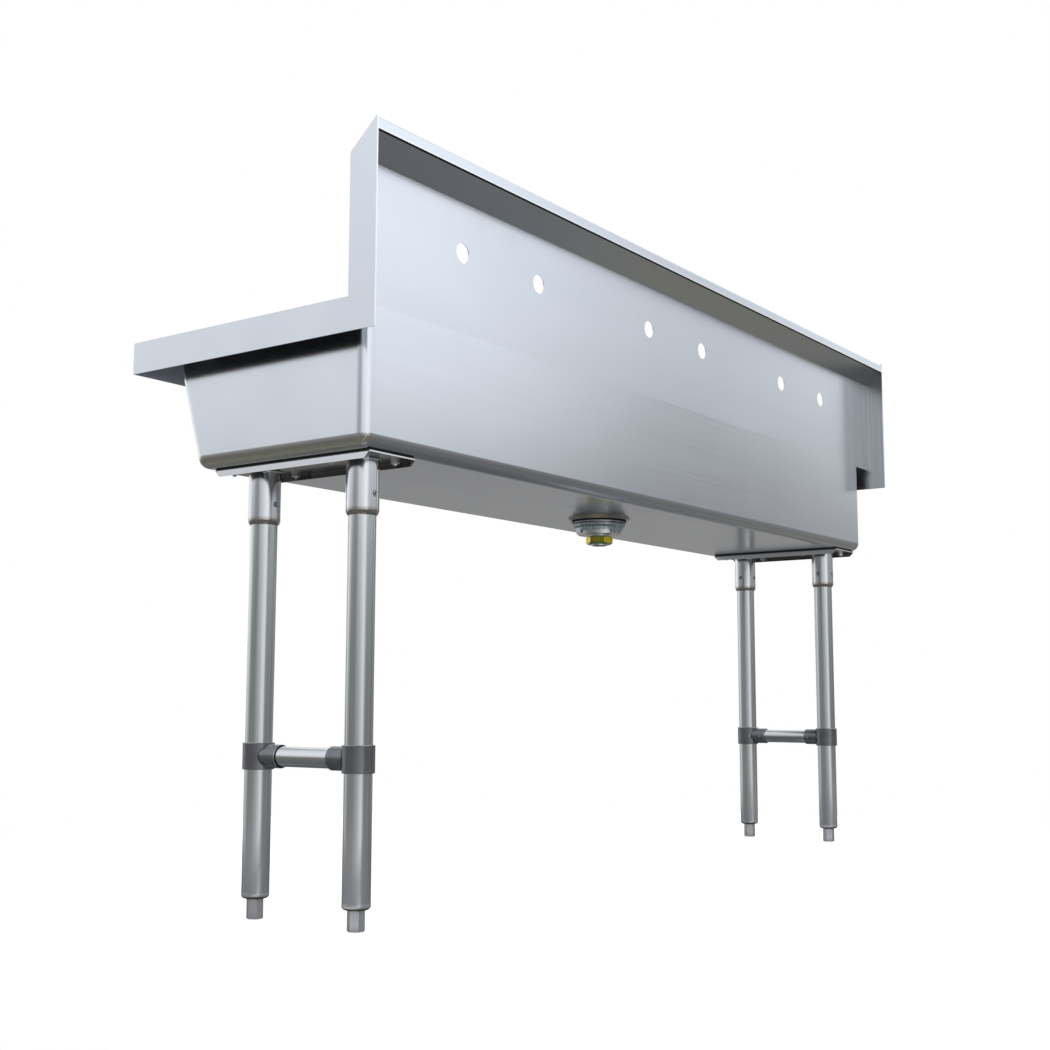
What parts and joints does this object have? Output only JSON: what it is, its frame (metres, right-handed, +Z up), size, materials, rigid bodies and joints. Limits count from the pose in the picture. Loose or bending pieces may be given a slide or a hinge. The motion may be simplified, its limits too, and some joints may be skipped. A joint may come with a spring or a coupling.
{
  "type": "trough sink",
  "caption": "Stainless steel trough sink with a backsplash, paired faucet holes and a drain, on channel-mounted tube legs with crossbars and adjustable feet.",
  "frame": {"origin": "floor level below the middle of the trough's bounding box", "axes": "+X along the wall to the user's right, +Y from the user to the wall, +Z up"},
  "size_m": [1.8288, 0.508, 1.135],
  "materials": {
    "brushed_sheet": "fine brushed, fairly mirror-like",
    "pad_rubber": "matt",
    "channel_steel": "mill finish",
    "fastener_steel": "bright plated",
    "socket_steel": "polished",
    "screw_black": "black oxide",
    "tube_steel": "brushed",
    "clamp_cast": "charcoal, satin",
    "screw_bright": "bright plated",
    "bar_steel": "brushed",
    "foot_alloy": "satin grey",
    "strainer_steel": "satin",
    "gasket_rubber": "matt",
    "ring_zinc": "dull plated",
    "locknut_zinc": "mottled zinc",
    "coupling_brass": "yellow passivated"
  },
  "bodies": {
    "sink": {"trough_bowl": "brushed_sheet", "backsplash": "brushed_sheet", "rim_deck": "brushed_sheet", "end_plate_left": "brushed_sheet", "end_plate_right": "brushed_sheet", "channel_pad_left": "pad_rubber", "channel_pad_right": "pad_rubber", "leg_channel_left": "channel_steel", "leg_channel_right": "channel_steel", "channel_studs": "fastener_steel", "leg_socket_front_left": "socket_steel", "leg_socket_rear_left": "socket_steel", "leg_socket_front_right": "socket_steel", "leg_socket_rear_right": "socket_steel", "socket_set_screws": "screw_black", "leg_tube_front_left": "tube_steel", "leg_tube_rear_left": "tube_steel", "leg_tube_front_right": "tube_steel", "leg_tube_rear_right": "tube_steel", "tee_clamp_front_left": "clamp_cast", "tee_clamp_rear_left": "clamp_cast", "tee_clamp_front_right": "clamp_cast", "tee_clamp_rear_right": "clamp_cast", "clamp_set_screws": "screw_bright", "crossbar_left": "bar_steel", "crossbar_right": "bar_steel", "foot_insert_front_left": "foot_alloy", "foot_insert_rear_left": "foot_alloy", "foot_insert_front_right": "foot_alloy", "foot_insert_rear_right": "foot_alloy", "strainer_body": "strainer_steel", "flange_seal": "gasket_rubber", "drain_gasket": "gasket_rubber", "friction_ring": "ring_zinc", "locknut": "locknut_zinc", "coupling_nut": "coupling_brass", "outlet_washer": "gasket_rubber", "outlet_tube": "strainer_steel"},
    "basket": {"strainer_basket": "strainer_steel", "basket_knob": "strainer_steel"},
    "foot_front_left_body": {"foot_front_left": "foot_alloy"},
    "foot_rear_left_body": {"foot_rear_left": "foot_alloy"},
    "foot_front_right_body": {"foot_front_right": "foot_alloy"},
    "foot_rear_right_body": {"foot_rear_right": "foot_alloy"}
  },
  "joints": [
    {"name": "basket_lift", "type": "slide", "parent": "sink", "child": "basket", "axis": [0, 0, 1], "range_m": [0, 0.5]},
    {"name": "foot_front_left_adjust", "type": "slide", "parent": "sink", "child": "foot_front_left_body", "axis": [0, 0, -1], "range_m": [0, 0.025]},
    {"name": "foot_rear_left_adjust", "type": "slide", "parent": "sink", "child": "foot_rear_left_body", "axis": [0, 0, -1], "range_m": [0, 0.025]},
    {"name": "foot_front_right_adjust", "type": "slide", "parent": "sink", "child": "foot_front_right_body", "axis": [0, 0, -1], "range_m": [0, 0.025]},
    {"name": "foot_rear_right_adjust", "type": "slide", "parent": "sink", "child": "foot_rear_right_body", "axis": [0, 0, -1], "range_m": [0, 0.025]}
  ]
}
